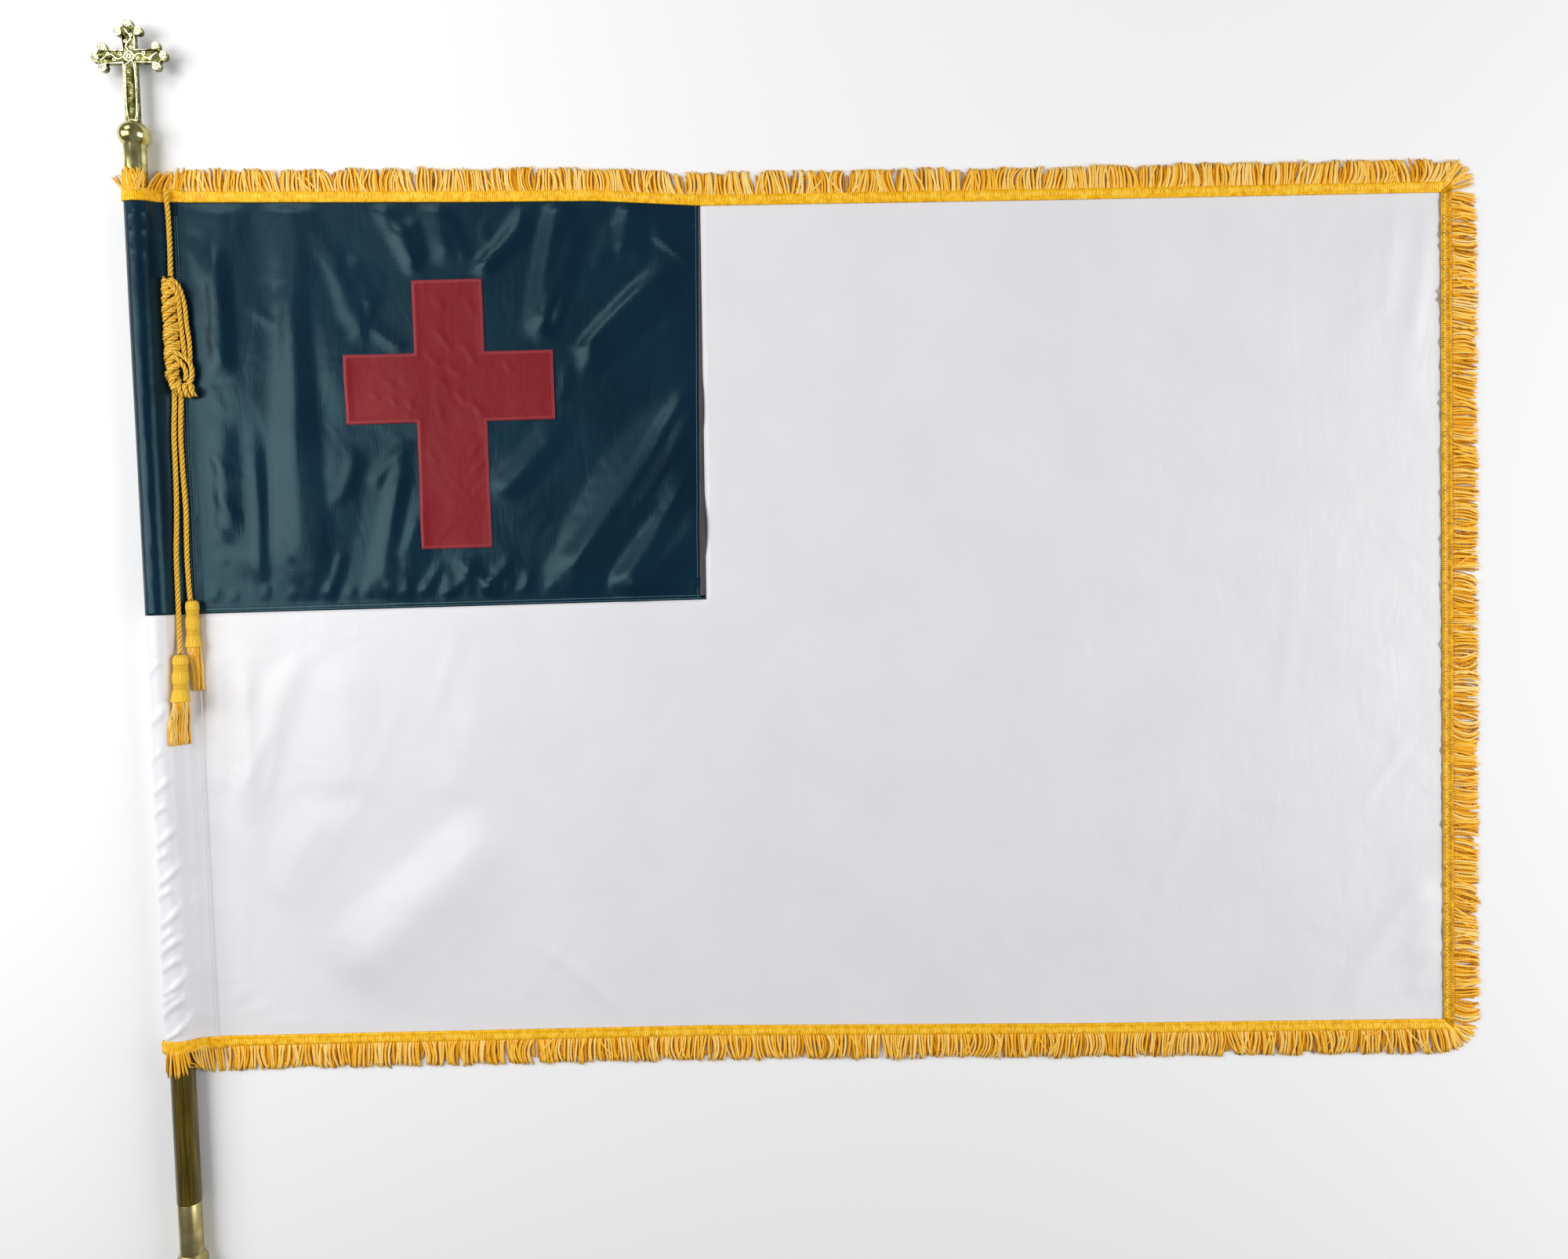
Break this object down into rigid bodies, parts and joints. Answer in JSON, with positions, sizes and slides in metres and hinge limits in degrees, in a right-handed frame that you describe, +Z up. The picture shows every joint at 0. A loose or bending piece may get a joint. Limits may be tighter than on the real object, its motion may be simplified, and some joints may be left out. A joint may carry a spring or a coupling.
{
  "type": "fringed parade flag with its flagpole",
  "caption": "Fringed cloth flag with a corner panel and cross, lying flat on the floor, sleeved on a pole with brass ends, a knotted gold cord and tassels.",
  "frame": {"origin": "on the floor under the middle of the cloth, on the cloth's flat underside", "axes": "+X from the pole to the fly edge, +Y along the pole towards the finial, +Z up from the floor"},
  "size_m": [1.8855, 1.7219, 0.0413],
  "materials": {
    "white_nylon": "soft sheen",
    "blue_nylon": "soft sheen",
    "red_nylon": "soft sheen",
    "gold_fringe": "silky",
    "varnished_wood": "gloss varnish",
    "polished_brass": "polished",
    "worn_brass": "dull polish",
    "gold_rope": "silky",
    "gold_tassel": "silky"
  },
  "bodies": {
    "root": {"white_field": "white_nylon", "white_sleeve": "white_nylon", "canton": "blue_nylon", "blue_sleeve": "blue_nylon", "red_cross": "red_nylon", "fringe_top": "gold_fringe", "fringe_top_sleeve": "gold_fringe", "fringe_bottom_sleeve": "gold_fringe", "fringe_fly": "gold_fringe", "fringe_bottom": "gold_fringe", "pole": "varnished_wood", "finial_ferrule": "polished_brass", "finial_ball": "polished_brass", "finial_cross": "polished_brass", "joint_ferrule": "worn_brass", "joint_collar": "worn_brass", "cord_upper": "gold_rope", "cord_knot": "gold_rope", "cord_left": "gold_rope", "cord_right": "gold_rope", "tassel_left": "gold_tassel", "tassel_right": "gold_tassel"}
  },
  "joints": []
}
